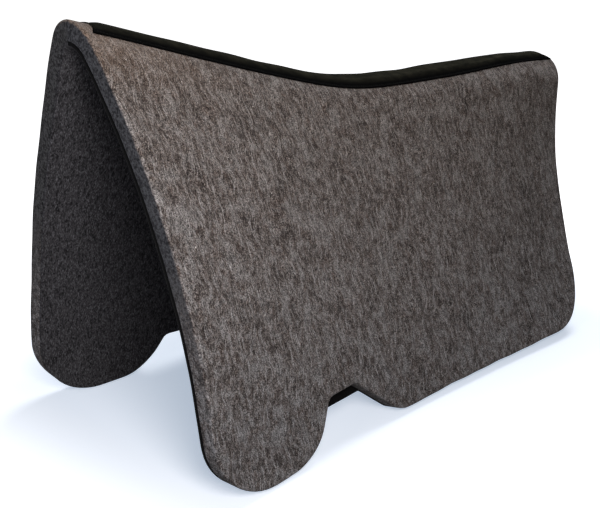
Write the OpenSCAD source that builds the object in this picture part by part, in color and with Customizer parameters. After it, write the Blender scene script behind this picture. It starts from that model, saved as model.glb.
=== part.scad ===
// Contoured felt saddle pad, standing folded over its spine like a tent.
// +X points to the horse's withers, +Y to its left side, +Z up, in millimetres.
// The origin lies on the ground under the middle of the pad.

/* [Pad] */
// Length of the pad along the spine
pad_length = 762; // [600:1:920]
// Height of the spine over the ground behind the bend, where the saddle sits
seat_height = 350; // [280:1:430]
// How far the spine climbs from the seat to the withers end
withers_rise = 101; // [60:1:130]
// Distance from the withers end to the middle of the bend in the spine
bend_from_front = 347; // [260:1:410]
// Half length over which the bend eases in
bend_softness = 36; // [20:1:50]
// How far the spine dips again at the tail end
tail_dip = 7; // [0:1:20]
// Length of that dip
tail_length = 170; // [100:1:220]

/* [Sides] */
// Lean of each side from upright just below the fold, at the withers end, in degrees
front_lean_top = 34; // [22:1:38]
// Lean of each side at the ground, at the withers end, in degrees
front_lean_bottom = 2; // [1:1:16]
// Lean of each side just below the fold, at the tail end, in degrees
rear_lean_top = 9; // [4:1:16]
// Lean of each side at the ground, at the tail end, in degrees
rear_lean_bottom = 33; // [18:1:38]
// Outer radius of the fold over the spine
crest_radius = 41; // [34:0.5:60]
// How far the front edge curves in between the spine and the lobe
front_hollow = 5; // [0:1:40]
// How far the rear edge curves in between the spine and the corner
rear_hollow = 6; // [0:1:40]

/* [Outline] */
// How far the front of the lobe stands back from the withers end
lobe_setback = 27; // [10:1:60]
// Length of the lobe along the ground, from its front to its rear corner
lobe_length = 139; // [116:1:175]
// Radius of the front of the lobe
lobe_front_radius = 75; // [30:1:82]
// Radius of the rear of the lobe
lobe_rear_radius = 55; // [20:1:60]
// Height of the cinch notch over the bottom edge
notch_height = 57; // [35:1:66]
// Length of the notch's front slope along the ground
notch_front_run = 28; // [20:1:50]
// Length of the notch's level top
notch_top_length = 44; // [30:1:80]
// Length of the notch's rear slope along the ground
notch_rear_run = 71; // [40:1:90]
// Radius of the two upper corners of the notch
notch_corner_radius = 9; // [4:1:14]
// Radius where the notch meets the bottom edge
skirt_front_radius = 33; // [15:1:60]
// How far the rear corner stands forward of the tail end
skirt_setback = 65; // [10:1:80]
// Radius of the rear corner
rear_corner_radius = 77; // [20:1:90]

/* [Layers] */
// Thickness of the outer wool felt
felt_thickness = 20; // [12:0.5:24]
// Thickness of the dark lining against the horse
lining_thickness = 4; // [2:0.5:6]
// Thickness of the glue line between the two
bond_line = 0.3; // [0.2:0.1:0.6]
// How much less deep the notch is cut in the lining
lining_notch_step = 19; // [0:1:24]
// Gap between the two halves along the spine
seam_gap = 0.4; // [0.3:0.1:2]

/* [Spine strip] */
// Width of the fabric cover, measured over the fold
cover_width = 53; // [46:1:66]
// Thickness of the cover fabric
cover_thickness = 1; // [0.8:0.1:2]
// Distance from the withers end to the cover
cover_front_inset = 11; // [4:1:40]
// Distance from the tail end to the cover
cover_rear_inset = 3; // [2:1:40]
// Width of the sewn hem along every edge of the cover
hem_width = 6; // [5:0.5:8]
// Thickness of the padding at the middle of the strip
padding_thickness = 1.8; // [1.6:0.2:6]
// Thickness of the padding at its edges
padding_edge = 0.8; // [0.6:0.1:1.6]
// Diameter of the sewing thread
thread_diameter = 0.7; // [0.6:0.1:1.2]
// Width of the zigzag seam that joins the two halves
zigzag_width = 10; // [6:1:16]
// Length of one full zigzag
zigzag_pitch = 12; // [8:1:20]

/* [Hidden] */

x_front = pad_length / 2;
x_rear = -pad_length / 2;
bend_x = x_front - bend_from_front;
tail_x = x_rear + tail_length;
layers_depth = felt_thickness + bond_line + lining_thickness;
lobe_front_x = x_front - lobe_setback;
lobe_rear_x = lobe_front_x - lobe_length;
skirt_rear_x = x_rear + skirt_setback;
// Gap left between pieces that lie on one another
lay = 0.4;
// Space under the cover and the padding, which the zigzag thread lies in
under_padding = thread_diameter + 3 * lay;
padding_half_width = cover_width / 2 - hem_width;
// Steps of each curve
arc_steps = 5;
crest_rows = 8;
side_rows = 7;
// Shortest straight that is kept between two rounded corners
short_run = 1;
// Smallest length or turn that counts
tiny = 0.0001;

function lerp(a, b, t) = a + (b - a) * t;
function unit(v) = v / norm(v);

// A level run that eases into a slope of one
function soft_ramp(t) = bend_softness * ln(1 + exp(t / bend_softness));
withers_slope = withers_rise / soft_ramp(x_front - bend_x);
// Longest cell of the skin whose chord over the bend rises less than the lay
bend_radius = 4 * bend_softness / withers_slope;
run_step = sqrt(8 * bend_radius * lay);

// Height of the felt's outer face on the spine
function crest_z(x) = seat_height + withers_slope * soft_ramp(x - bend_x)
                      - tail_dip * pow(max(0, tail_x - x) / tail_length, 2);
function lean_top(x) = lerp(rear_lean_top, front_lean_top, (x - x_rear) / pad_length);
function lean_bottom(x) = lerp(rear_lean_bottom, front_lean_bottom, (x - x_rear) / pad_length);
// Length of the fold, from the spine to where the side begins
function fold_length(x) = crest_radius * (90 - lean_top(x)) * PI / 180;
// Height of the lower end of the fold
function fold_z(x) = crest_z(x) - crest_radius * (1 - sin(lean_top(x)));
// Height of the felt's outer corner when the lining's corner stands on the ground
function foot_z(x) = layers_depth * sin(lean_bottom(x));
// Curvature of the side below the fold, in radians per millimetre: its lean changes
// evenly along an arc from the fold to the ground
function curl(x) = (sin(lean_bottom(x)) - sin(lean_top(x))) / (fold_z(x) - foot_z(x));

// Point of the left side at the distance d from the spine, measured over the outer
// face, and at the given depth below that face. A negative d lies on the right side.
function on_pad(x, d, depth) =
    let (reach = min(abs(d), fold_length(x)), below = abs(d) - reach,
         bend = curl(x) * below * 180 / PI, mid_lean = lean_top(x) + bend / 2,
         chord = abs(bend) < tiny ? below : below * sin(bend / 2) / (bend / 2 * PI / 180),
         fold_turn = reach / crest_radius * 180 / PI, turn = fold_turn - bend)
    [x,
     sign(d) * (crest_radius * sin(fold_turn) + chord * sin(mid_lean) - depth * sin(turn)),
     crest_z(x) - crest_radius * (1 - cos(fold_turn)) - chord * cos(mid_lean)
         - depth * cos(turn)];

// Distance over the outer face from the spine down to the height z
function reach_to(x, z) =
    let (h = fold_z(x) - z, k = curl(x), lean = lean_top(x))
    fold_length(x) + (abs(k * h) < tiny ? h / cos(lean)
                      : (asin(sin(lean) + k * h) - lean) * PI / 180 / k);

// Round corner c between its neighbours p and n
function corner(p, c, n, r) =
    let (a = unit(p - c), b = unit(n - c), half = acos(a * b) / 2,
         centre = c + unit(a + b) * r / sin(half), start = c + a * r / tan(half) - centre,
         turn = sign(cross(c - p, n - c)) * (180 - 2 * half), first = atan2(start.y, start.x))
    [for (i = [0:arc_steps]) centre + r * [cos(first + turn * i / arc_steps),
                                           sin(first + turn * i / arc_steps)]];

// Extra points on a straight run, so that no cell of the skin gets too long
function run(p, n) =
    let (count = floor(norm(n - p) / run_step))
    [for (i = [1:1:count]) lerp(p, n, i / (count + 1))];

// Largest radius at the foot of a notch slope that leaves its upper corner its own
function foot_radius(wanted, notch_h, slope_run) =
    min(wanted, notch_h / (1 - cos(atan2(notch_height, slope_run)))
                - notch_corner_radius - short_run);

// Bottom edge in side view, as heights over the ground line of the outer face, from
// the front of the lobe to the rear corner
function bottom_edge(notch_h) =
    let (front_slope = notch_front_run / notch_height, rear_slope = notch_rear_run / notch_height,
         top_front = lobe_rear_x - notch_h * front_slope,
         foot = lobe_rear_x - notch_front_run - notch_top_length - notch_rear_run,
         top_rear = foot + notch_h * rear_slope,
         p = [[lobe_front_x, lobe_front_radius + short_run], [lobe_front_x, 0],
              [lobe_rear_x, 0], [top_front, notch_h], [top_rear, notch_h], [foot, 0],
              [skirt_rear_x, 0], [skirt_rear_x, rear_corner_radius + short_run]],
         r = [0, lobe_front_radius, foot_radius(lobe_rear_radius, notch_h, notch_front_run),
              notch_corner_radius, notch_corner_radius,
              foot_radius(skirt_front_radius, notch_h, notch_rear_run), rear_corner_radius],
         arcs = [for (i = [1:6]) corner(p[i - 1], p[i], p[i + 1], r[i])])
    [for (i = [0:5]) each i < 5 ? concat(arcs[i], run(arcs[i][arc_steps], arcs[i + 1][0]))
                                : arcs[i]];

// How far the front and rear edges curve in, from none at the spine to none at the bottom
function hollow(s) = pow(sin(180 * s), 1.3);

// Share of the way from the front to the rear for each point of the bottom edge
function shares(edge) =
    let (steps = [for (i = [1:len(edge) - 1]) norm(edge[i] - edge[i - 1])],
         sums = [for (i = 0, s = 0; i <= len(steps); s = s + (i < len(steps) ? steps[i] : 0),
                 i = i + 1) s])
    sums / sums[len(sums) - 1];

// Points of one face of the left side: a row of points for each step down from the spine
function face_points(edge, depth) =
    let (u = shares(edge), count = len(edge),
         drop = [for (p = edge) reach_to(p.x, foot_z(p.x) + p.y)])
    [for (j = [0:crest_rows + side_rows]) for (i = [0:count - 1])
        let (top_x = lerp(x_front, x_rear, u[i]),
             fold_share = fold_length(top_x) / drop[i],
             s = j <= crest_rows ? fold_share * j / crest_rows
                                 : lerp(fold_share, 1, (j - crest_rows) / side_rows),
             x = lerp(top_x, edge[i].x, s) - front_hollow * (1 - u[i]) * hollow(s)
                 + rear_hollow * u[i] * hollow(s),
             p = on_pad(x, max(s * drop[i], tiny), depth))
        [p.x, p.y + seam_gap / 2, p.z]];

// Triangles over a grid of rows and columns, whose points start at the index base
function grid_faces(rows, cols, base, flip) =
    [for (j = [0:rows - 2]) for (i = [0:cols - 2])
        let (a = base + j * cols + i, b = a + 1, c = a + cols, d = c + 1)
        each flip ? [[a, b, d], [a, d, c]] : [[a, d, b], [a, c, d]]];

// Triangles that close the rim between two such grids
function rim_faces(rows, cols) =
    let (n = rows * cols,
         loop = concat([for (i = [0:cols - 1]) i],
                       [for (j = [1:rows - 1]) j * cols + cols - 1],
                       [for (i = [cols - 2:-1:0]) (rows - 1) * cols + i],
                       [for (j = [rows - 2:-1:1]) j * cols]),
         m = len(loop))
    [for (k = [0:m - 1]) let (a = loop[k], b = loop[(k + 1) % m])
        each [[a, b, b + n], [a, b + n, a + n]]];

// Closed skin between two grids of points of the same size
module skin(upper, lower, cols) {
    rows = len(upper) / cols;
    polyhedron(points = concat(upper, lower),
               faces = concat(grid_faces(rows, cols, 0, false),
                              grid_faces(rows, cols, rows * cols, true),
                              rim_faces(rows, cols)));
}

// One layer of the left side between two depths
module side_layer(top_depth, bottom_depth, notch_h) {
    edge = bottom_edge(notch_h);
    skin(face_points(edge, top_depth), face_points(edge, bottom_depth), len(edge));
}

module felt() {
    side_layer(0, felt_thickness, notch_height);
}

module lining() {
    side_layer(felt_thickness + bond_line, layers_depth, notch_height - lining_notch_step);
}

// Thickness of the padding at the distance d from the spine
function padding_at(d) =
    padding_edge + (padding_thickness - padding_edge) * cos(90 * d / padding_half_width);

cover_front = x_front - cover_front_inset;
cover_rear = x_rear + cover_rear_inset;
padding_front = cover_front - hem_width;
padding_rear = cover_rear + hem_width;
padding_cells = 30;
padding_rows_half = 4;
padding_xs = [for (i = [0:padding_cells]) lerp(padding_front, padding_rear, i / padding_cells)];
padding_ds = [for (i = [-padding_rows_half:padding_rows_half])
              padding_half_width * i / padding_rows_half];

module spine_padding() {
    color([0.16, 0.16, 0.16])
    skin([for (d = padding_ds) for (x = padding_xs) on_pad(x, d, -under_padding - padding_at(d))],
         [for (d = padding_ds) for (x = padding_xs) on_pad(x, d, -under_padding)],
         len(padding_xs));
}

// Clear of the padding by the lay on top, at its sides and at its ends
cover_xs = concat([cover_front, padding_front + hem_width / 3, padding_front + lay],
                  [for (i = [1:padding_cells - 1]) padding_xs[i]],
                  [padding_rear - lay, padding_rear - hem_width / 3, cover_rear]);
cover_ds = concat([-cover_width / 2, -padding_half_width - hem_width / 3,
                   -padding_half_width - lay],
                  [for (i = [1 - padding_rows_half:padding_rows_half - 1])
                      padding_half_width * i / padding_rows_half],
                  [padding_half_width + lay, padding_half_width + hem_width / 3,
                   cover_width / 2]);
function in_padding(x, d) = abs(d) <= padding_half_width + lay
                            && x <= padding_front + lay && x >= padding_rear - lay;
function under_cover(x, d) =
    in_padding(x, d) ? under_padding + padding_at(min(abs(d), padding_half_width)) + lay : lay;

module spine_cover() {
    color([0.10, 0.10, 0.095])
    skin([for (d = cover_ds) for (x = cover_xs)
             on_pad(x, d, -under_cover(x, d) - cover_thickness)],
         [for (d = cover_ds) for (x = cover_xs) on_pad(x, d, -under_cover(x, d))],
         len(cover_xs));
}

// Thread swept along points given as [x, distance over the fold, height over the felt]
module thread(route) {
    sides = 6;
    r = thread_diameter / 2;
    n = len(route);
    rings = [for (k = [0:n - 1]) for (q = [0:sides - 1])
        let (here = route[k], ahead = route[min(k + 1, n - 1)], back = route[max(k - 1, 0)],
             along = unit([ahead.x - back.x, ahead.y - back.y]),
             a = 360 * q / sides, w = r * cos(a))
        on_pad(here.x - along.y * w, here.y + along.x * w, -here.z - r * sin(a))];
    walls = [for (k = [0:n - 2]) for (q = [0:sides - 1])
        let (a = k * sides + q, b = k * sides + (q + 1) % sides)
        each [[a, b, b + sides], [a, b + sides, a + sides]]];
    caps = [for (q = [1:sides - 2]) each [[0, q + 1, q],
        [(n - 1) * sides, (n - 1) * sides + q, (n - 1) * sides + q + 1]]];
    color([0.06, 0.06, 0.06])
    polyhedron(points = rings, faces = concat(walls, caps));
}

zigzags = floor((padding_front - padding_rear) / zigzag_pitch);

// Zigzag seam across the two butted halves, under the padding
module seam_thread() {
    thread([for (k = [0:2 * zigzags])
        [padding_front - k * zigzag_pitch / 2, (k % 2 == 0 ? 1 : -1) * zigzag_width / 2,
         2 * lay + thread_diameter / 2]]);
}

// Height and place of the rows of stitches that hold the cover down
stitch_z = 2 * lay + cover_thickness + thread_diameter / 2;
stitch_d = cover_width / 2 - hem_width / 4;
stitch_cells = 50;

module long_row(side) {
    thread([for (i = [0:stitch_cells])
        [lerp(cover_front - hem_width / 4, cover_rear + hem_width / 4, i / stitch_cells),
         side * stitch_d, stitch_z]]);
}

module end_row(x) {
    half = stitch_d - 2 * thread_diameter;
    steps = 10;
    thread([for (i = [0:steps]) [x, lerp(-half, half, i / steps), stitch_z]]);
}

module left_topstitch() {
    long_row(1);
}

module right_topstitch() {
    long_row(-1);
}

module front_end_stitch() {
    end_row(cover_front - hem_width / 4);
}

module rear_end_stitch() {
    end_row(cover_rear + hem_width / 4);
}

module left_felt() {
    color([0.47, 0.43, 0.41]) felt();
}

module left_lining() {
    color([0.16, 0.16, 0.17]) lining();
}

module right_felt() {
    color([0.47, 0.43, 0.41]) mirror([0, 1, 0]) felt();
}

module right_lining() {
    color([0.16, 0.16, 0.17]) mirror([0, 1, 0]) lining();
}

left_felt();
left_lining();
right_felt();
right_lining();
spine_padding();
spine_cover();
seam_thread();
left_topstitch();
right_topstitch();
front_end_stitch();
rear_end_stitch();
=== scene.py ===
# %% [markdown]
# # A felt saddle pad, standing folded over its spine
# The pad is two thick slabs of wool felt, each with a dark lining glued to its inner side.
# The slabs meet along the spine, where a zigzag seam joins them and a padded strip of black
# knit covers the join. The CAD frame holds the places and the one moving joint. This script
# gives every piece the shape and finish of the real one, around that frame.

# %% Load the frame
import math
import bpy
import numpy as np
from mathutils import Matrix, Vector


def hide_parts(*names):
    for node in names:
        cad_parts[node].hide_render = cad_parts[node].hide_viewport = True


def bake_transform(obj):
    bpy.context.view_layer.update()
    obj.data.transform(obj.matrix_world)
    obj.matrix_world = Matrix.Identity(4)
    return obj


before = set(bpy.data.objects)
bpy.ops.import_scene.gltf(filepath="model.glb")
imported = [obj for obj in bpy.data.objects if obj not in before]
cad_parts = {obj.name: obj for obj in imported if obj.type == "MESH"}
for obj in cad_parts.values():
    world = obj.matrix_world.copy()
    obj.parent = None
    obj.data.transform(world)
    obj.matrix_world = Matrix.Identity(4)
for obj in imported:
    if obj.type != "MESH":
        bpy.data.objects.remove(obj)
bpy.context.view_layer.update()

# %% [markdown]
# ## Two small helpers
# Colours are written as on a paint card, as sRGB hex, and turned to the linear values that a
# shader needs. One function adds a node to a material: what is passed for a socket is either
# a value, which is set there, or the output of another node, which is linked.

# %% Colour and node helpers
def linear(code):
    """Linear RGBA of an sRGB hex colour such as '#8a7f79'."""
    parts = [int(code[i:i + 2], 16) / 255 for i in (1, 3, 5)]
    return [c / 12.92 if c < 0.04045 else ((c + 0.055) / 1.055) ** 2.4 for c in parts] + [1.0]


def add(tree, kind, sockets=None, **settings):
    """Adds one node with its settings, and fills or links its sockets."""
    made = tree.nodes.new(kind)
    for name, value in settings.items():
        setattr(made, name, value)
    for key, value in (sockets or {}).items():
        if isinstance(value, bpy.types.NodeSocket):
            tree.links.new(value, made.inputs[key])
        else:
            made.inputs[key].default_value = value
    return made


MM = 0.001
print("mid brown is", [round(c, 3) for c in linear("#6e635e")])

# %% [markdown]
# ## The sizes of the pad
# In millimetres, and those of the CAD source: the arched spine, the lean of the two sides,
# the outline with its lobe and cinch notch, and the layers. Two are the finished pad's own.
# Its right lining is cut a little lower at the notch than the left one, and its seam is
# pulled shut, so that no line of light comes through.

# %% Sizes
LENGTH, SEAT, RISE, BEND, SOFTNESS = 762.0, 350.0, 101.0, 347.0, 36.0
DIP, TAIL = 7.0, 170.0
FRONT_LEAN, REAR_LEAN = (34.0, 2.0), (9.0, 33.0)
CREST_RADIUS, FRONT_HOLLOW, REAR_HOLLOW = 41.0, 5.0, 6.0
LOBE_SETBACK, LOBE_LENGTH, LOBE_RADII = 27.0, 139.0, (75.0, 55.0)
NOTCH_HEIGHT, NOTCH_RUNS, NOTCH_RADIUS = 57.0, (28.0, 44.0, 71.0), 9.0
SKIRT_RADIUS, SKIRT_SETBACK, REAR_RADIUS = 33.0, 65.0, 77.0
FELT, LINING, GLUE, SEAM_GAP = 20.0, 4.0, 0.3, 0.12
LINING_STEP = {"left": 19.0, "right": 11.0}
X_FRONT, X_REAR, DEPTH = LENGTH / 2, -LENGTH / 2, FELT + GLUE + LINING
RIGHT_OFFSET = 1400.0  # added to x where the right half's patterns are read, so it differs
print("pad", LENGTH, "mm long and", DEPTH, "mm thick")

# %% [markdown]
# ## The curved surface
# Everything on the pad lies on one curved surface, so one function places it all: x along
# the spine, d over the fold and down the side, and a depth below the outer face. A slow
# unevenness of under a millimetre is part of it, because thick felt never lies quite flat.
# A displacement texture could give that too, but then each layer would get its own. All
# layers share this one, so no two can cut into each other.

# %% Smooth unevenness
rng = np.random.default_rng(7)  # a fixed seed, so that every run makes the same pad


def make_waves(shortest, longest, count):
    """Directions, wave numbers and phases of smooth random waves, lengths in mm."""
    angle, phase = rng.uniform(0, 2 * np.pi, count), rng.uniform(0, 2 * np.pi, count)
    k = 2 * np.pi / rng.uniform(shortest, longest, count)
    return k * np.cos(angle), k * np.sin(angle), phase


def waves(kit, x, d):
    """Height of those waves, about -1 to 1."""
    total = sum(np.sin(kx * x + kd * d + phase) for kx, kd, phase in zip(*kit))
    return total / math.sqrt(len(kit[0]))


SLOW, TRIM, PUFF, PUCKER = (make_waves(110, 260, 6), make_waves(35, 120, 10),
                            make_waves(40, 110, 12), make_waves(6, 13, 14))
print("slow waves are", np.round(2 * np.pi / np.hypot(*SLOW[:2])), "mm long")

# %% The surface of the pad
UNEVEN, CALM_FOLD = 0.8, 60.0  # height of the slow waves, and the width that they fade over


def crest_z(x):
    """Height of the spine over the ground."""
    slope = RISE / (SOFTNESS * np.logaddexp(0, BEND / SOFTNESS))
    along = x - (X_FRONT - BEND)
    dip = DIP * (np.maximum(0, X_REAR + TAIL - x) / TAIL) ** 2
    return SEAT + slope * SOFTNESS * np.logaddexp(0, along / SOFTNESS) - dip


def lean(x, row):
    """Lean of the side from upright in radians: row 0 just below the fold, 1 at the ground."""
    return np.radians(REAR_LEAN[row] + (FRONT_LEAN[row] - REAR_LEAN[row]) * (x - X_REAR) / LENGTH)


def fold_length(x):
    """Length of the fold's arc, from the spine to where the side begins."""
    return CREST_RADIUS * (np.pi / 2 - lean(x, 0))


def fold_z(x):
    """Height at which the fold ends."""
    return crest_z(x) - CREST_RADIUS * (1 - np.sin(lean(x, 0)))


def foot_z(x):
    """Height of the outer face's ground line, when the inner side stands on the floor."""
    return DEPTH * np.sin(lean(x, 1))


def curl(x):
    """How fast the side's lean changes down its arc, never quite none."""
    k = (np.sin(lean(x, 1)) - np.sin(lean(x, 0))) / (fold_z(x) - foot_z(x))
    return np.where(np.abs(k) < 1e-9, 1e-9, k)


def on_pad(x, d, depth):
    """Points in metres at x, the distance d over the fold, and a depth below the face."""
    x, d, depth = np.broadcast_arrays(np.asarray(x, float), d, depth)
    depth = depth - UNEVEN * waves(SLOW, x, d) * np.clip(np.abs(d) / CALM_FOLD, 0.25, 1)
    reach = np.minimum(np.abs(d), fold_length(x))
    below = np.abs(d) - reach
    bend = curl(x) * below
    chord = below * np.sinc(bend / 2 / np.pi)
    fold_turn, middle = reach / CREST_RADIUS, lean(x, 0) + bend / 2
    turn = fold_turn - bend
    y = CREST_RADIUS * np.sin(fold_turn) + chord * np.sin(middle) - depth * np.sin(turn)
    z = (crest_z(x) - CREST_RADIUS * (1 - np.cos(fold_turn)) - chord * np.cos(middle)
         - depth * np.cos(turn))
    return np.stack([x, np.sign(d) * y, z], -1) * MM


def reach_to(x, z):
    """Distance over the face from the spine down to the height z."""
    top, k = lean(x, 0), curl(x)
    return fold_length(x) + (np.arcsin(np.sin(top) + k * (fold_z(x) - z)) - top) / k


front_z, rear_z = float(crest_z(X_FRONT)), float(crest_z(X_REAR))
print("spine", round(front_z), "mm high in front,", round(rear_z), "behind")

# %% [markdown]
# ## The outline of one side
# In side view the bottom edge is a chain of straight cuts with rounded corners: the lobe in
# front, the cinch notch and the long skirt. It is resampled to even steps, so that the mesh
# has even cells, which is what smooth shading and later changes like best.

# %% Bottom edge in side view
ARC_STEPS, STUB = 12, 1.0  # steps round a corner, and the straight bit at either end


def rounded(before, corner, after, radius):
    """Points of the arc that rounds a corner."""
    a, b = [(q - corner) / np.linalg.norm(q - corner) for q in (before, after)]
    half = math.acos(a @ b) / 2
    centre = corner + (a + b) / np.linalg.norm(a + b) * radius / math.sin(half)
    start = corner + a * radius / math.tan(half) - centre
    p, q = corner - before, after - corner
    turn = math.copysign(math.pi - 2 * half, p[0] * q[1] - p[1] * q[0])
    t = math.atan2(start[1], start[0]) + turn * np.linspace(0, 1, ARC_STEPS + 1)
    return centre + radius * np.stack([np.cos(t), np.sin(t)], 1)


def bottom_edge(notch_h, columns):
    """Evenly spaced points (x, height over the ground line) from the lobe to the rear."""
    front_x, rear_x = X_FRONT - LOBE_SETBACK, X_REAR + SKIRT_SETBACK
    lobe_x = front_x - LOBE_LENGTH
    foot = lobe_x - sum(NOTCH_RUNS)
    corners = np.array([
        [front_x, LOBE_RADII[0] + STUB], [front_x, 0], [lobe_x, 0],
        [lobe_x - notch_h * NOTCH_RUNS[0] / NOTCH_HEIGHT, notch_h],
        [foot + notch_h * NOTCH_RUNS[2] / NOTCH_HEIGHT, notch_h],
        [foot, 0], [rear_x, 0], [rear_x, REAR_RADIUS + STUB]])
    radii = [*LOBE_RADII, NOTCH_RADIUS, NOTCH_RADIUS, SKIRT_RADIUS, REAR_RADIUS]
    line = np.concatenate([rounded(*corners[i:i + 3], r) for i, r in enumerate(radii)])
    along = np.r_[0, np.cumsum(np.linalg.norm(np.diff(line, axis=0), axis=1))]
    even = np.linspace(0, along[-1], columns)
    return np.stack([np.interp(even, along, line[:, k]) for k in (0, 1)], 1)


HOLLOW_SHAPE = 1.3  # over 1 gathers the hollow of the two ends at mid height


def flat_grid(notch_h, columns, fold_rows, side_rows):
    """Rows of (x, d) from the spine to the bottom edge, one column per point of the edge."""
    edge = bottom_edge(notch_h, columns)
    u = np.linspace(0, 1, columns)
    drop = reach_to(edge[:, 0], foot_z(edge[:, 0]) + edge[:, 1])
    top_x = X_FRONT + (X_REAR - X_FRONT) * u
    fold_share = fold_length(top_x) / drop
    rows = []
    for j in range(fold_rows + side_rows + 1):
        s = (fold_share * j / fold_rows if j <= fold_rows
             else fold_share + (1 - fold_share) * (j - fold_rows) / side_rows)
        hollow = np.clip(np.sin(np.pi * s), 0, 1) ** HOLLOW_SHAPE
        x = top_x + (edge[:, 0] - top_x) * s + hollow * (REAR_HOLLOW * u - FRONT_HOLLOW * (1 - u))
        rows.append(np.stack([x, s * drop], 1))
    return np.array(rows)


edge_runs = np.diff(bottom_edge(NOTCH_HEIGHT, 400), axis=0)
print("bottom edge", round(float(np.linalg.norm(edge_runs, axis=1).sum())), "mm long")

# %% [markdown]
# ## A slab of felt
# A cut slab isn't a box: the knife leaves a wall, and handling rolls the corners over. So
# each layer is two grids, an outer and an inner face, joined by rings that run round the
# edge and turn the corners in small steps. The grid near the edge moves in by the same
# amount, so no cell gets squeezed. Each point also stores its place on the pad, as x, d and
# depth in metres, and the materials read their patterns from that: the nap then follows the
# slab, wherever it curves.

# %% Mesh helpers
def mesh_piece(name, points, faces, lay):
    """A smooth-shaded mesh object whose points know their place on the pad."""
    mesh = bpy.data.meshes.new(name)
    mesh.from_pydata(points.tolist(), [], faces.tolist())
    mesh.polygons.foreach_set("use_smooth", np.ones(len(mesh.polygons), bool))
    stored = mesh.attributes.new("lay", "FLOAT_VECTOR", "POINT")
    stored.data.foreach_set("vector", (np.asarray(lay) * MM).astype(np.float32).ravel())
    mesh.update()
    made = bpy.data.objects.new(name, mesh)
    bpy.context.scene.collection.objects.link(made)
    print(name, len(mesh.vertices), "points")
    return made


def quads(rows, cols):
    """Quads over a grid whose points are numbered row by row."""
    a = (np.arange(rows - 1)[:, None] * cols + np.arange(cols - 1)).ravel()
    return np.stack([a, a + cols, a + cols + 1, a + 1], 1)


def around(rows, cols):
    """Numbers of the points on a grid's rim, along the first row and then on round."""
    last = (rows - 1) * cols
    return np.r_[np.arange(cols), np.arange(2, rows) * cols - 1,
                 last + np.arange(cols)[::-1], np.arange(rows - 2, 0, -1) * cols]


# %% Slab builder
COLUMNS, FOLD_ROWS, SIDE_ROWS = 190, 14, 80
EDGE_REACH = 18.0  # how far from the edge the grid still gives way to it
EDGE_WOBBLE = 0.4  # how far a hand-held knife strays
INNER_ROLL = 0.45  # share of the outer corner's radius that the inner corner has
SEAM_SHOWS = 14.0  # length at the front over which the seam's corners stay rolled
ROLL_TURNS = np.radians([24, 48, 70, 90])
CHUNK = 4000  # points compared with the edge at a time, to spare memory


def slab(name, side, top, bottom, notch_h, roll, seam_roll, wall_rings):
    """One layer of one side between two depths, with rolled edges."""
    flat = flat_grid(notch_h, COLUMNS, FOLD_ROWS, SIDE_ROWS)
    rows, cols = flat.shape[:2]
    points = flat.reshape(-1, 2)
    rim = around(rows, cols)
    loop = points[rim]
    tangent = np.roll(loop, -1, axis=0) - np.roll(loop, 1, axis=0)
    tangent /= np.linalg.norm(tangent, axis=1)[:, None]
    inward = np.stack([tangent[:, 1], -tangent[:, 0]], 1)
    on_seam = np.where(loop[:, 1] < 1e-6, 1.0, 0.0)
    hidden = on_seam * np.clip((X_FRONT - loop[:, 0]) / SEAM_SHOWS, 0, 1)
    radius = roll + (seam_roll - roll) * hidden
    wobble = EDGE_WOBBLE * waves(TRIM, loop[:, 0] + 900 * side, loop[:, 1]) * (1 - on_seam)
    flats = []
    for r in (radius, radius * INNER_ROLL):
        shifted = points.copy()
        for start in range(0, len(points), CHUNK):
            part = points[start:start + CHUNK]
            gap = np.linalg.norm(part[:, None] - loop[None], axis=2)
            near = gap.argmin(1)
            pull = np.clip(1 - gap[np.arange(len(part)), near] / EDGE_REACH, 0, 1) ** 2
            shifted[start:start + CHUNK] += inward[near] * ((r + wobble)[near] * pull)[:, None]
        flats.append(shifted)
    depths = [np.full(len(points), top), np.full(len(points), bottom)]
    rings = [(1 - math.sin(a), 1 - math.cos(a), "top") for a in ROLL_TURNS]
    rings += [(None, k / (wall_rings + 1), "wall") for k in range(1, wall_rings + 1)]
    rings += [(1 - math.sin(a), 1 - math.cos(a), "bottom") for a in ROLL_TURNS[::-1]]
    for inset, down, part in rings:
        r = radius if part == "top" else radius * INNER_ROLL
        if part == "wall":
            first, last = top + radius, bottom - radius * INNER_ROLL
            flats.append(loop + inward * wobble[:, None])
            depths.append(first + (last - first) * down)
        else:
            flats.append(loop + inward * (wobble + r * inset)[:, None])
            depths.append(top + r * down if part == "top" else bottom - r * down)
    flat_all, depth_all = np.concatenate(flats), np.concatenate(depths)
    flat_all[:, 1] = np.maximum(flat_all[:, 1], 1e-4)
    placed = on_pad(flat_all[:, 0], flat_all[:, 1] * side, depth_all)
    placed[:, 1] += side * SEAM_GAP / 2 * MM  # each half keeps its share of the gap
    n = rows * cols
    outer, inner = quads(rows, cols), quads(rows, cols)[:, ::-1] + n
    ring_points = [2 * n + k * len(rim) + np.arange(len(rim)) for k in range(len(rings))]
    chain = [rim, *ring_points, rim + n]
    walls = [np.stack([a, np.roll(a, -1), np.roll(b, -1), b], 1) for a, b in zip(chain, chain[1:])]
    faces = np.concatenate([outer, inner, *walls])
    if side < 0:
        faces = faces[:, ::-1]
    along = flat_all[:, 0] + (0 if side > 0 else RIGHT_OFFSET)
    lay = np.stack([along, flat_all[:, 1], depth_all], 1)
    return mesh_piece(name, placed, faces, lay)


# %% [markdown]
# ## Two felts and two linings
# The same builder makes all four. Thick felt rolls over by some 3 mm at its corners and thin
# lining by 1 mm, and both stay sharper where the two halves are pressed together at the seam.

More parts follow.
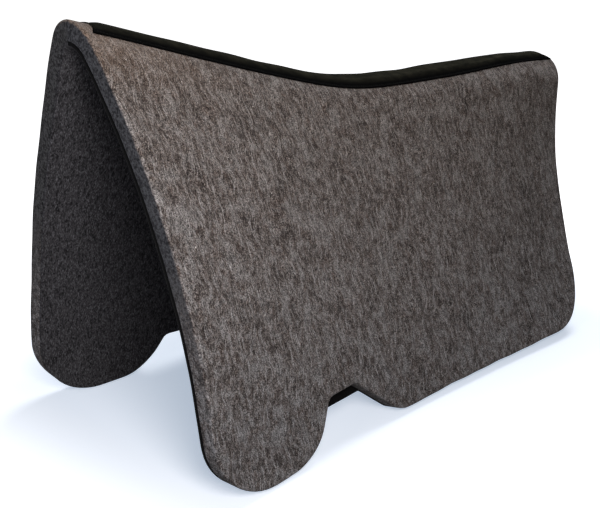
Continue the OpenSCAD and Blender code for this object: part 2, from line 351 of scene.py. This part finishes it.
# %% The four slabs
FELT_ROLL, FELT_SEAM_ROLL, FELT_WALL_RINGS = 3.2, 1.2, 3
LINING_ROLL, LINING_SEAM_ROLL, LINING_WALL_RINGS = 1.2, 0.6, 1
slabs = {}
for side, word in ((1, "left"), (-1, "right")):
    slabs[word + "_felt"] = slab(
        "outer_felt_" + word, side, 0, FELT, NOTCH_HEIGHT,
        FELT_ROLL, FELT_SEAM_ROLL, FELT_WALL_RINGS)
    slabs[word + "_lining"] = slab(
        "lining_" + word, side, FELT + GLUE, DEPTH, NOTCH_HEIGHT - LINING_STEP[word],
        LINING_ROLL, LINING_SEAM_ROLL, LINING_WALL_RINGS)

# %% [markdown]
# ## The strip over the spine
# A long band of knit is turned under at its edges, laid over soft padding and stitched down
# near the hem. It puffs up in the middle, less so towards the withers, is pulled tight at
# the stitches and never lies quite even. Its front end is cut hollow, and it narrows towards
# the rear. Cloth simulation could blow it up, but on a band this narrow a profile with small
# puckers gives the same shape and keeps the hem exactly where the stitches go.

# %% Profile of the strip
# All in mm, but for three shares: how uneven the puff is, how much of it the front loses, and
# how much of its width the strip loses towards the rear.
COVER_WIDTH, COVER_FRONT, COVER_REAR = 53.0, X_FRONT - 11.0, X_REAR + 3.0
COVER_THICK, HEM, STITCH_IN, THREAD = 1.0, 6.0, 3.0, 0.7
HEM_HEIGHT, PUFF_HEIGHT, SWELL, FLATTER_FRONT = 1.55, 3.3, 0.13, 0.35
PULL_IN, PULL_WIDTH, PUCKER_HEIGHT, PUCKER_WIDTH = 0.45, 1.1, 0.22, 3.2
END_HOLLOW, HOLLOW_RUN = 9.0, 60.0
NARROWING, NARROW_RUN = 0.24, 240.0
REAR_SHORT, SHORT_RUN = 6.0, 70.0


def ease(low, high, value):
    """0 at low, 1 at high, with a soft start and a soft end."""
    t = np.clip((value - low) / (high - low), 0, 1)
    return t * t * (3 - 2 * t)


def cover_height(x, d):
    """Height of the cover's outer side over the felt."""
    side_in = COVER_WIDTH / 2 - np.abs(d)
    end_in = np.minimum(COVER_FRONT - x, x - COVER_REAR)
    inside = np.minimum(side_in, end_in)
    puff = ease(STITCH_IN + 0.3, 13, side_in) * ease(STITCH_IN + 0.3, 16, end_in)
    puff *= 1 - FLATTER_FRONT * ease(COVER_FRONT - 160, COVER_FRONT - 20, x)
    swell = 1 + SWELL * waves(PUFF, x, d * 1.4)
    hem = HEM_HEIGHT * ease(-0.6, 0.9, inside)
    stitched = np.exp(-((inside - STITCH_IN) / PULL_WIDTH) ** 2)
    puckered = waves(PUCKER, x, d * 0.3) * np.exp(-((inside - STITCH_IN) / PUCKER_WIDTH) ** 2)
    return hem + PUFF_HEIGHT * puff * swell - PULL_IN * stitched + PUCKER_HEIGHT * puckered


def on_strip(x, d, height):
    """Points on the strip, whose front end is cut hollow and which narrows towards the rear."""
    front = ease(COVER_FRONT - HOLLOW_RUN, COVER_FRONT, x)
    rear = ease(COVER_REAR + SHORT_RUN, COVER_REAR, x)
    narrow = 1 - NARROWING * ease(COVER_REAR + NARROW_RUN, COVER_REAR, x)
    hollow = END_HOLLOW * front * (1 - (2 * d / COVER_WIDTH) ** 2)
    return on_pad(x - hollow + REAR_SHORT * rear, d * narrow, -height)


def band(name, xs, ds, upper, lower):
    """A closed band over the spine between two heights, each a function of x and d."""
    d, x = np.meshgrid(ds, xs, indexing="ij")
    d, x = d.ravel(), x.ravel()
    heights = [upper(x, d), lower(x, d)]
    placed = np.concatenate([on_strip(x, d, h) for h in heights])
    rows, cols = len(ds), len(xs)
    rim, n = around(rows, cols), rows * cols
    walls = np.stack([rim, np.roll(rim, -1), np.roll(rim, -1) + n, rim + n], 1)
    faces = np.concatenate([quads(rows, cols), quads(rows, cols)[:, ::-1] + n, walls])
    lay = np.stack([np.tile(x, 2), np.tile(d, 2), -np.concatenate(heights)], 1)
    return mesh_piece(name, placed, faces, lay)


print("the strip stands", round(float(cover_height(0, 0)), 1), "mm over the felt")

# %% Strip cover and padding
COVER_CLEAR = 0.24  # lowest height of the cover's underside over the felt
PADDING_TOP, PADDING_LEAST, PADDING_FLOOR = 1.3, 0.9, 0.45
edge_steps = np.array([0, 0.35, 0.9, 1.6, 2.3, 3.0, 3.8, 4.8, 6.2])
inner_start, half_width = 7.6, COVER_WIDTH / 2
inner_ds = np.linspace(-half_width + inner_start, half_width - inner_start, 25)
cover_ds = np.r_[-half_width + edge_steps, inner_ds, half_width - edge_steps[::-1]]
inner_xs = np.linspace(COVER_FRONT - inner_start, COVER_REAR + inner_start, 420)
cover_xs = np.r_[COVER_FRONT - edge_steps, inner_xs, COVER_REAR + edge_steps[::-1]]
cover = band("spine_strip_cover", cover_xs, cover_ds, cover_height,
             lambda x, d: np.maximum(cover_height(x, d) - COVER_THICK, COVER_CLEAR))
padding = band("spine_strip_padding", np.linspace(COVER_FRONT - HEM, COVER_REAR + HEM, 120),
               np.linspace(-half_width + HEM, half_width - HEM, 15),
               lambda x, d: np.maximum(cover_height(x, d) - PADDING_TOP, PADDING_LEAST),
               lambda x, d: 0 * x + PADDING_FLOOR)

# %% [markdown]
# ## Threads
# A lockstitch shows as a row of short rounded dashes, each sunk into the cloth at both ends.
# The zigzag seam lies unseen under the padding, as one long thread. Curves with a round bevel
# could make both, but a mesh can carry its place on the pad like every other piece.

# %% Thread as a tube
THREAD_SIDES = 8
CAP = np.array([[0, 7, 6, 5], [0, 5, 4, 3], [0, 3, 2, 1]])


def tube(path, radius, sides=THREAD_SIDES):
    """Points and faces of a closed tube along a path of (x, d, height) in mm."""
    ahead = np.gradient(path[:, :2], axis=0)
    ahead /= np.linalg.norm(ahead, axis=1)[:, None]
    a = 2 * np.pi * np.arange(sides) / sides
    across, up = radius[:, None] * np.cos(a), radius[:, None] * np.sin(a)
    x = path[:, :1] - ahead[:, 1:] * across
    d = path[:, 1:2] + ahead[:, :1] * across
    height = path[:, 2:] + up
    ring = np.arange(sides)
    faces = [np.stack([k * sides + ring, k * sides + np.roll(ring, -1),
                       (k + 1) * sides + np.roll(ring, -1), (k + 1) * sides + ring], 1)
             for k in range(len(path) - 1)]
    faces += [CAP, CAP[:, ::-1] + (len(path) - 1) * sides]
    return np.stack([x, d, height], -1).reshape(-1, 3), np.concatenate(faces)


print("a thread", THREAD, "mm thick has", THREAD_SIDES, "sides")

# %% Rows of stitches
PITCH, DASH, DASH_STEPS, SUNK = 3.4, 2.7, 7, 0.2


def stitch_row(name, start, end):
    """Single stitches from one (x, d) to another, lying on the cover."""
    start, end = np.array(start), np.array(end)
    length = np.linalg.norm(end - start)
    direction = (end - start) / length
    points, faces = [], []
    t = np.linspace(-1, 1, DASH_STEPS)
    for k in range(int(length / PITCH)):
        spot = start + direction * PITCH * (k + 0.5)
        flat = spot + direction * t[:, None] * DASH / 2
        rise = THREAD * (0.62 - 0.95 * t ** 4) - SUNK
        path = np.c_[flat, cover_height(flat[:, 0], flat[:, 1]) + rise]
        p, f = tube(path, THREAD / 2 * np.sqrt(1.02 - t ** 6))
        faces.append(f + len(p) * k)
        points.append(p)
    lay = np.concatenate(points)
    return mesh_piece(name, on_strip(lay[:, 0], lay[:, 1], lay[:, 2]), np.concatenate(faces), lay)


row_d = COVER_WIDTH / 2 - STITCH_IN
row_front, row_rear = COVER_FRONT - STITCH_IN, COVER_REAR + STITCH_IN
rows_of_stitches = {
    "left_topstitch": stitch_row("topstitch_left", (row_front, row_d), (row_rear, row_d)),
    "right_topstitch": stitch_row("topstitch_right", (row_front, -row_d), (row_rear, -row_d)),
    "front_end_stitch": stitch_row("end_stitch_front", (row_front, -row_d), (row_front, row_d)),
    "rear_end_stitch": stitch_row("end_stitch_rear", (row_rear, -row_d), (row_rear, row_d))}

# %% Zigzag seam
ZIG_WIDTH, ZIG_PITCH, ZIG_HEIGHT, LEG_STEPS = 10.0, 12.0, 0.4, 4
turns_x = np.arange(COVER_FRONT - HEM, COVER_REAR + HEM, -ZIG_PITCH / 2)
turn_numbers = np.arange(len(turns_x))
turns_d = ZIG_WIDTH / 2 * (1 - 2 * (turn_numbers % 2))
turn_points = np.c_[turns_x, turns_d, np.full(len(turns_x), ZIG_HEIGHT)]
steps = np.linspace(0, len(turns_x) - 1, LEG_STEPS * (len(turns_x) - 1) + 1)
zig_path = np.stack([np.interp(steps, turn_numbers, turn_points[:, k]) for k in range(3)], 1)
zig_points, zig_faces = tube(zig_path, np.full(len(zig_path), THREAD / 2))
zigzag = mesh_piece("zigzag_seam", on_strip(*zig_points.T), zig_faces, zig_points)
zig_runs = np.linalg.norm(np.diff(zig_path, axis=0), axis=1)
print("zigzag thread", round(float(zig_runs.sum()) / 1000, 2), "m long")

# %% [markdown]
# ## How the patterns are drawn
# Every cloth here is a cloud of fibres, so every pattern is stretched noise, sized in
# millimetres and read from the place on the pad that each point carries. An image would need
# unwrapping and would blur close up. A colour is built as a painter builds it, from a ground
# and then layer on layer, each laid on where some pattern rises from one value to another.

# %% Pattern helpers
BLOB = 0.55  # the noise scale at which one blob is about one unit wide
HALF_EDGE = RIGHT_OFFSET / 2 * MM  # places past this are on the right half


def material(name):
    made = bpy.data.materials.new(name)
    made.use_nodes = True
    made.node_tree.nodes.clear()
    return made, made.node_tree


def grain(tree, place, across, along, through, detail=2.0, seed=0.0):
    """Noise whose tufts are so many mm wide across, along and through the slab."""
    scale = (1 / (across * MM), 1 / (along * MM), 1 / (through * MM))
    sized = add(tree, "ShaderNodeVectorMath", {0: place, 1: scale}, operation="MULTIPLY")
    noise = add(tree, "ShaderNodeTexNoise",
                {"Vector": sized.outputs[0], "Scale": BLOB, "Detail": detail,
                 "Roughness": 0.6, "W": seed}, noise_dimensions="4D")
    return noise.outputs["Fac"]


def layer(tree, colour, pattern, low, high, tone, most=1.0):
    """Lays a tone on a colour, from none where the pattern is low to most where it is high."""
    cover_share = add(tree, "ShaderNodeMapRange",
                      {"Value": pattern, "From Min": low, "From Max": high, "To Max": most},
                      clamp=True)
    mixed = add(tree, "ShaderNodeMix", {0: cover_share.outputs[0], 6: colour, 7: tone},
                data_type="RGBA")
    return mixed.outputs[2]


def finish_material(tree, colour, height, depth_mm, **shader):
    """Shader, bump and output. What is the same all over is set on the shader itself."""
    bump = add(tree, "ShaderNodeBump",
               {"Strength": 1.0, "Distance": depth_mm * MM, "Height": height})
    surface = add(tree, "ShaderNodeBsdfPrincipled",
                  {"Base Color": colour, "Normal": bump.outputs[0], **shader})
    add(tree, "ShaderNodeOutputMaterial", {"Surface": surface.outputs[0]})
    print(len(tree.nodes), "nodes")


print("a tuft 1 mm wide has noise scale", BLOB / MM)

# %% [markdown]
# ## Heathered wool felt, needled and brushed
# Heather comes from mixing dyed and undyed fleece before it is felted, so the colour changes
# from fibre to fibre: brown, taupe, grey, with a few pale hairs. Brushing lays the fibres
# down the side. Real fibres are 0.03 mm thick, far too fine to show, so the pattern draws
# coarser stand-ins: tufts 1 mm wide and 2 to 3 mm long, locks of twice that, and a few pale
# hairs 13 mm long. The nap also leans a little to and fro, as brushing leaves it.

# %% Heather felt: the patterns
# Each grain is given by its size across the nap, along it and through the slab, then by its
# detail and its seed. The nap sways to and fro about every 36 mm, by up to 9 mm.
DRIFT_STEP, DRIFT = 1000 / 28, 18.0
felt_material, tree = material("heather_wool_felt_brushed")
place = add(tree, "ShaderNodeAttribute", attribute_name="lay").outputs["Vector"]
drift = add(tree, "ShaderNodeTexNoise",
            {"Vector": place, "Scale": 1 / (DRIFT_STEP * MM), "Detail": 1.5})
drift_by = add(tree, "ShaderNodeVectorMath", {0: drift.outputs["Color"], 1: (-0.5, -0.5, -0.5)})
drift_mm = add(tree, "ShaderNodeVectorMath", {0: drift_by.outputs[0], 1: (DRIFT * MM, 0.0, 0.0)},
               operation="MULTIPLY")
nap = add(tree, "ShaderNodeVectorMath", {0: place, 1: drift_mm.outputs[0]}).outputs[0]
tufts = grain(tree, nap, 1.0, 2.6, 2.0, 4.0, 0.0)
locks = grain(tree, nap, 2.6, 5.4, 4.0, 4.0, 18.0)
fibres = grain(tree, nap, 0.45, 1.0, 1.0, 2.0, 3.1)
hairs = grain(tree, nap, 0.65, 13.0, 1.0, 1.0, 15.2)
flecks = grain(tree, nap, 0.55, 0.7, 1.0, 1.0, 12.3)
clouds = grain(tree, nap, 8.0, 12.0, 9.0, 4.0, 6.4)
warmth = grain(tree, nap, 2.6, 6.0, 5.0, 2.0, 9.7)
specks = grain(tree, nap, 1.1, 1.3, 2.0, 0.0, 21.0)
pith = grain(tree, place, 0.9, 1.3, 1.3, 3.0, 8.0)
print(len(tree.nodes), "nodes for the patterns")

# %% [markdown]
# ### The colour of the face
# The ground is a dark brown. Tufts lighten it, warm and pale patches follow, and each kind of
# fibre has a pale and a dark share, because the noise is read once above its middle and once
# below. Near the front of the spine, where the key lamp falls most, a painted highlight makes
# the face lighter and warmer. That goes under the flecks, so that it doesn't wash them out.

# %% Heather felt: the face
colour = linear("#3c3432")
for pattern, low, high, tone, most in (
        (tufts, 0.36, 0.64, "#978c86", 1.0), (warmth, 0.48, 0.75, "#6d564a", 0.8),
        (clouds, 0.5, 0.63, "#9a9796", 0.85), (clouds, 0.49, 0.35, "#2f2724", 0.75),
        (fibres, 0.5, 0.66, "#b7aea9", 0.75), (fibres, 0.5, 0.36, "#231c1b", 0.85),
        (locks, 0.5, 0.64, "#b4b0af", 0.6), (locks, 0.49, 0.34, "#2d2523", 0.5),
        (hairs, 0.6, 0.68, "#cdc9c8", 0.55)):
    colour = layer(tree, colour, pattern, low, high, linear(tone), most)
lay_parts = add(tree, "ShaderNodeSeparateXYZ", {0: place})
along, down, depth_in = lay_parts.outputs
far_half = add(tree, "ShaderNodeMapRange",
               {"Value": along, "From Min": HALF_EDGE, "From Max": HALF_EDGE + 0.02},
               clamp=True).outputs[0]
toward_front = add(tree, "ShaderNodeMath", {0: far_half, 1: -RIGHT_OFFSET * MM, 2: along},
                   operation="MULTIPLY_ADD").outputs[0]
near_front = add(tree, "ShaderNodeMapRange", {"Value": toward_front, "From Min": 0.2,
                                              "From Max": 0.37, "To Max": 0.42}, clamp=True)
near_spine = add(tree, "ShaderNodeMapRange", {"Value": down, "From Min": 0.09,
                                              "From Max": 0.02}, clamp=True)
# Painted highlight: the face is painted lighter and warmer at the front of the fold, where the key
# lamp falls most.
painted_key_highlight = add(tree, "ShaderNodeMath", {0: near_front.outputs[0], 1: near_spine.outputs[0]},
             operation="MULTIPLY")
colour = add(tree, "ShaderNodeMix", {0: painted_key_highlight.outputs[0], 6: colour, 7: linear("#a8917f")},
             data_type="RGBA").outputs[2]
speckle = layer(tree, linear("#404040"), flecks, 0.3, 0.7, linear("#ffffff"))
colour = add(tree, "ShaderNodeMix", {0: 0.95, 6: colour, 7: speckle},
             data_type="RGBA", blend_type="MULTIPLY").outputs[2]
colour = layer(tree, colour, specks, 0.87, 0.88, linear("#e6e0da"))
# Painted light: the face is tinted a little warm near the fold and a little cool down the side, as
# the light falls there.
painted_light_tint = layer(tree, linear("#fffaf5"), down, 0.03, 0.4, linear("#f4f9ff"))
colour = add(tree, "ShaderNodeMix", {0: 1.0, 6: colour, 7: painted_light_tint},
             data_type="RGBA", blend_type="MULTIPLY").outputs[2]
print(len(tree.nodes), "nodes with the face")

# %% [markdown]
# ### The cut edge
# The knife bares the core of the slab, which has no nap. Its cooler grey is painted shade, as
# the cut edge turns away from the light, and on the right half it is painted a touch less blue
# and darker in its dark tufts, as that edge lies in deeper shade. The border between face and
# core is ragged, because the tufts hang over it, and low on the side rubbing has felted the
# edge over again.

# %% Heather felt: the cut edge
# Painted shade: the cut core is painted a cool grey, and a little differently on the right half,
# whose edge lies in deeper shade.
core_dark, core_light = [
    add(tree, "ShaderNodeMix", {0: far_half, 6: linear(left_tone), 7: linear(right_tone)},
        data_type="RGBA").outputs[2]
    for left_tone, right_tone in (("#191a1e", "#161618"), ("#48494d", "#4a4a4c"))]
core_in_painted_shade = layer(tree, core_dark, pith, 0.41, 0.59, core_light)
ragged = add(tree, "ShaderNodeMath", {0: tufts, 1: 5 * MM, 2: depth_in},
             operation="MULTIPLY_ADD").outputs[0]
bare = add(tree, "ShaderNodeMapRange", {"Value": ragged, "From Min": 3.8 * MM,
                                        "From Max": 6.0 * MM}, clamp=True)
worn = add(tree, "ShaderNodeMapRange", {"Value": down, "From Min": 0.24, "From Max": 0.37,
                                        "To Min": 1.0, "To Max": 0.15}, clamp=True)
bare_share = add(tree, "ShaderNodeMath", {0: bare.outputs[0], 1: worn.outputs[0]},
                 operation="MULTIPLY")
colour = add(tree, "ShaderNodeMix", {0: bare_share.outputs[0], 6: colour, 7: core_in_painted_shade},
             data_type="RGBA").outputs[2]
relief = add(tree, "ShaderNodeMath", {0: tufts, 1: fibres}, operation="ADD").outputs[0]
finish_material(tree, colour, relief, 0.45, Roughness=0.95, **{
    "Sheen Weight": 0.06, "Sheen Roughness": 0.5, "Specular IOR Level": 0.1})

# %% [markdown]
# ## Lining felt, needled
# The lining is a thin, dense black felt. Its face against the horse is brushed to a charcoal
# grey. On the left half the rest of it is painted near black, its own dark deepened by painted
# shade, as its edge lies in the felt's shadow; the right half is charcoal all over. Wool
# scatters light in all directions, so it is rough, with next to no shine.

# %% Lining felt
lining_material, tree = material("charcoal_felt_needled")
place = add(tree, "ShaderNodeAttribute", attribute_name="lay").outputs["Vector"]
tufts = grain(tree, place, 1.2, 2.6, 2.0, 3.0, 1.0)
fibres = grain(tree, place, 0.5, 1.4, 1.0, 2.0, 4.0)
colour = layer(tree, linear("#1b1a1c"), tufts, 0.36, 0.66, linear("#454447"))
colour = layer(tree, colour, fibres, 0.52, 0.7, linear("#828288"), 0.45)
colour = layer(tree, colour, fibres, 0.48, 0.34, linear("#0c0c0e"), 0.5)
lay_parts = add(tree, "ShaderNodeSeparateXYZ", {0: place})
far_half = add(tree, "ShaderNodeMapRange",
               {"Value": lay_parts.outputs[0], "From Min": HALF_EDGE,
                "From Max": HALF_EDGE + 0.02}, clamp=True)
face = add(tree, "ShaderNodeMapRange",
           {"Value": lay_parts.outputs[2], "From Min": (DEPTH - 1.0) * MM,
            "From Max": (DEPTH - 0.2) * MM}, clamp=True)
shown = add(tree, "ShaderNodeMath", {0: face.outputs[0], 1: far_half.outputs[0]},
            operation="MAXIMUM")
# Painted shade: the left lining, all but its inner face, is painted near black where it lies in
# the felt's shadow.
colour = add(tree, "ShaderNodeMix", {0: shown.outputs[0], 6: linear("#060607"), 7: colour},
             data_type="RGBA").outputs[2]
relief = add(tree, "ShaderNodeMath", {0: tufts, 1: fibres}, operation="ADD").outputs[0]
finish_material(tree, colour, relief, 0.4, Roughness=0.95, **{
    "Sheen Weight": 0.03, "Sheen Roughness": 0.5, "Specular IOR Level": 0.08})

# %% [markdown]
# ## Polyester knit
# The strip is a dull black knit with fine ribs across it. Its colour carries a little olive,
# a painted sheen of the light on its top, and painted shade makes its hems, which face
# sideways, quite black. Ribs are a wave texture, whose stripes repeat every 0.314 units at
# scale 1, so the scale follows from the ribs' spacing.

# %% Knit
WAVE_REPEAT, RIB = 0.314, 1.6
knit_material, tree = material("black_polyester_knit")
place = add(tree, "ShaderNodeAttribute", attribute_name="lay").outputs["Vector"]
ribs = add(tree, "ShaderNodeTexWave",
           {"Vector": place, "Scale": WAVE_REPEAT / (RIB * MM), "Distortion": 1.2,
            "Detail": 1.0, "Detail Scale": 2.0},
           wave_type="BANDS", bands_direction="X").outputs["Fac"]
mottle = grain(tree, place, 7.0, 4.0, 5.0, 3.0, 2.0)
# Painted sheen: the olive tones stand for the faint sheen of the light on the strip's top.
colour = layer(tree, linear("#1b1b15"), mottle, 0.35, 0.7, linear("#343228"))
across_strip = add(tree, "ShaderNodeSeparateXYZ", {0: place}).outputs[1]
from_spine = add(tree, "ShaderNodeMath", {0: across_strip}, operation="ABSOLUTE").outputs[0]
# Painted shade: from 12 to 21 mm off the spine, the hems are painted near black.
colour = layer(tree, colour, from_spine, 12 * MM, 21 * MM, linear("#040404"))
relief = add(tree, "ShaderNodeMath", {0: ribs, 1: mottle}, operation="ADD").outputs[0]
finish_material(tree, colour, relief, 0.25, Roughness=0.95, **{"Specular IOR Level": 0.03})

# %% [markdown]
# ## Wadding and thread
# The padding is bonded grey wadding, an open fluff that is seen only if the strip is cut. The
# thread is bonded polyester, spun of plies that wind round it every 0.9 mm. Bonding makes it
# the least dull of the strip's parts, but black on black it stays quiet.

# %% Wadding and thread
PLY = 0.9
padding_material, tree = material("grey_wadding_bonded")
place = add(tree, "ShaderNodeAttribute", attribute_name="lay").outputs["Vector"]
fluff = grain(tree, place, 2.0, 2.0, 2.0, 4.0, 5.0)
colour = add(tree, "ShaderNodeMix", {0: fluff, 6: linear("#3c3c3c"), 7: linear("#5e5e5e")},
             data_type="RGBA").outputs[2]
finish_material(tree, colour, fluff, 0.6, Roughness=0.9)

thread_material, tree = material("black_polyester_thread_bonded")
place = add(tree, "ShaderNodeAttribute", attribute_name="lay").outputs["Vector"]
plies = add(tree, "ShaderNodeTexWave",
            {"Vector": place, "Scale": WAVE_REPEAT / (PLY * MM), "Distortion": 0.5},
            wave_type="BANDS", bands_direction="DIAGONAL").outputs["Fac"]
colour = add(tree, "ShaderNodeMix", {0: plies, 6: linear("#060606"), 7: linear("#111110")},
             data_type="RGBA").outputs[2]
finish_material(tree, colour, plies, 0.1, Roughness=0.8, **{"Specular IOR Level": 0.1})

# %% [markdown]
# ## Giving the pieces their materials
# The pad opens and closes at its spine, and felt, lining and strip all bend there. Each piece
# gets its material here, and the CAD solids that it stands for are hidden.


def dress(piece, mat, slot, *nodes):
    """Gives a piece its material and hides the CAD solids it stands for; slot is not used."""
    piece.data.materials.append(mat)
    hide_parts(*nodes)
    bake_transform(piece)


for node_name, piece in slabs.items():
    if node_name.endswith("felt"):
        dress(piece, felt_material, "heather_felt", node_name)
    else:
        dress(piece, lining_material, "lining_felt", node_name)
dress(cover, knit_material, "black_knit", "spine_cover")
dress(padding, padding_material, "padding_foam", "spine_padding")
dress(zigzag, thread_material, "black_thread", "seam_thread")
for node_name, piece in rows_of_stitches.items():
    dress(piece, thread_material, "black_thread", node_name)

# %% [markdown]
# ## Floor
# The pad stands on a white paper sweep. Paper lit by these lamps alone would come out grey,
# and brighter lamps would burn out the felt. So to the camera, and to nothing else, the paper
# also glows, more strongly with the distance from the pad's feet, until it is plain white.
# Around the feet the glow is faint and a little blue, a painted shade laid over the real
# shadow there.

# %% Floor
FLOOR_Z = -0.0013  # just under the felt's lowest tufts
FEET = (0.33, 0.19, 0.0)  # half length and half width of the ground the pad covers
# The glow's strength at the feet and far off, and how far each of glow and tint fades, in m
GLOW_NEAR, GLOW_FAR, GLOW_REACH, TINT_REACH = 0.57, 1.1, 0.22, 0.25
bpy.ops.mesh.primitive_grid_add(x_subdivisions=4, y_subdivisions=4, size=40,
                                location=(0, 0, FLOOR_Z))
floor = bpy.context.object
floor.name = "floor"
floor_material, tree = material("white_paper_sweep")
seen = add(tree, "ShaderNodeLightPath").outputs["Is Camera Ray"]
spot = add(tree, "ShaderNodeTexCoord").outputs["Object"]
outward = add(tree, "ShaderNodeVectorMath", {0: spot}, operation="ABSOLUTE")
past = add(tree, "ShaderNodeVectorMath", {0: outward.outputs[0], 1: FEET},
           operation="SUBTRACT")
outside = add(tree, "ShaderNodeVectorMath", {0: past.outputs[0], 1: (0.0, 0.0, 0.0)},
              operation="MAXIMUM")
away = add(tree, "ShaderNodeVectorMath", {0: outside.outputs[0]},
           operation="LENGTH").outputs["Value"]
# Painted shade: the glow is weaker near the pad's feet.
glow_share = add(tree, "ShaderNodeMapRange",
                 {"Value": away, "From Min": 0.0, "From Max": GLOW_REACH,
                  "To Min": GLOW_NEAR, "To Max": GLOW_FAR}, interpolation_type="SMOOTHSTEP")
white = add(tree, "ShaderNodeMix", {0: seen, 6: linear("#6e6e6e"), 7: linear("#e6e6e6")},
            data_type="RGBA").outputs[2]
paper = add(tree, "ShaderNodeBsdfDiffuse", {"Color": white})
lift = add(tree, "ShaderNodeMath", {0: seen, 1: glow_share.outputs[0]}, operation="MULTIPLY")
# Painted shade: the glow turns blue near the pad's feet.
tint = layer(tree, linear("#d1e1f5"), away, 0.0, TINT_REACH, linear("#ffffff"))
glow = add(tree, "ShaderNodeEmission", {"Color": tint, "Strength": lift.outputs[0]})
both = add(tree, "ShaderNodeAddShader", {0: paper.outputs[0], 1: glow.outputs[0]})
add(tree, "ShaderNodeOutputMaterial", {"Surface": both.outputs[0]})
floor.data.materials.append(floor_material)
print("floor at", FLOOR_Z / MM, "mm")

# %% [markdown]
# ## Surroundings and lamps
# The camera sees white all round, but only a trace of it lights the pad, so that the inside
# of the tent stays dark. Three large lamps do the rest: a key near the left of the withers
# end, a weak fill that looks into the tent, and a wide one overhead and behind.

# %% Surroundings
WORLD_LIGHT, WORLD_SEEN = 0.08, 1.0
world = bpy.data.worlds.new("studio")
bpy.context.scene.world = world
world.use_nodes = True
tree = world.node_tree
tree.nodes.clear()
path = add(tree, "ShaderNodeLightPath")
strength = add(tree, "ShaderNodeMix",
               {0: path.outputs["Is Camera Ray"], 2: WORLD_LIGHT, 3: WORLD_SEEN},
               data_type="FLOAT")
sky = add(tree, "ShaderNodeBackground",
          {"Color": linear("#ffffff"), "Strength": strength.outputs[0]})
add(tree, "ShaderNodeOutputWorld", {"Surface": sky.outputs[0]})
print("the surroundings light with", WORLD_LIGHT, "and are seen as", WORLD_SEEN)


# %% Lamps
def area_lamp(name, place, target, size, watts, tint):
    """A round lamp at a place in metres, turned to its target and unseen by the camera."""
    lamp = bpy.data.lights.new(name, "AREA")
    lamp.shape, lamp.size, lamp.energy = "DISK", size, watts
    lamp.color = linear(tint)[:3]
    made = bpy.data.objects.new(name, lamp)
    made.location = place
    made.visible_camera = False
    aim = Vector(target) - Vector(place)
    made.rotation_euler = aim.to_track_quat("-Z", "Y").to_euler()
    bpy.context.scene.collection.objects.link(made)
    print(name, watts, "W,", round(aim.length, 2), "m away")


area_lamp("key_front_left", (0.62, 0.74, 0.55), (0.15, 0.1, 0.22), 0.35, 6.7, "#fffaf8")
area_lamp("front_fill", (1.5, 0.3, 0.5), (0, -0.05, 0.2), 0.6, 5.4, "#f5f6ff")
area_lamp("top_rear", (-0.9, -0.3, 1.75), (0, 0, 0.1), 1.1, 22, "#f6f9ff")

# %% [markdown]
# ## Camera
# The camera stands off the left of the withers end, at a little more than the spine's height,
# and looks down along the pad. Its place and direction are given as vectors in metres, and a
# camera's matrix is made of just those: right, up, back, and the eye.

# %% Camera
EYE = np.array([0.88861, 0.83426, 0.56487])
AHEAD = np.array([-0.65279, -0.68084, -0.33214])
ROLL, FOCAL, SENSOR = 0.00673, 62.82, 36.0
right = np.cross(AHEAD, [0, 0, 1])
right /= np.linalg.norm(right)
up = np.cross(right, AHEAD)
right, up = (math.cos(ROLL) * right + math.sin(ROLL) * up,
             math.cos(ROLL) * up - math.sin(ROLL) * right)
lens = bpy.data.cameras.new("studio_camera")
lens.lens, lens.sensor_width, lens.sensor_fit = FOCAL, SENSOR, "HORIZONTAL"
lens.clip_end = 100
camera = bpy.data.objects.new("studio_camera", lens)
turned = np.stack([right, up, -AHEAD], 1).tolist()
camera.matrix_world = Matrix([[*row, p] for row, p in zip(turned, EYE)] + [[0, 0, 0, 1]])
bpy.context.scene.collection.objects.link(camera)
bpy.context.scene.camera = camera
bpy.context.scene.view_settings.view_transform = "Standard"
print("lens", FOCAL, "mm at", EYE)
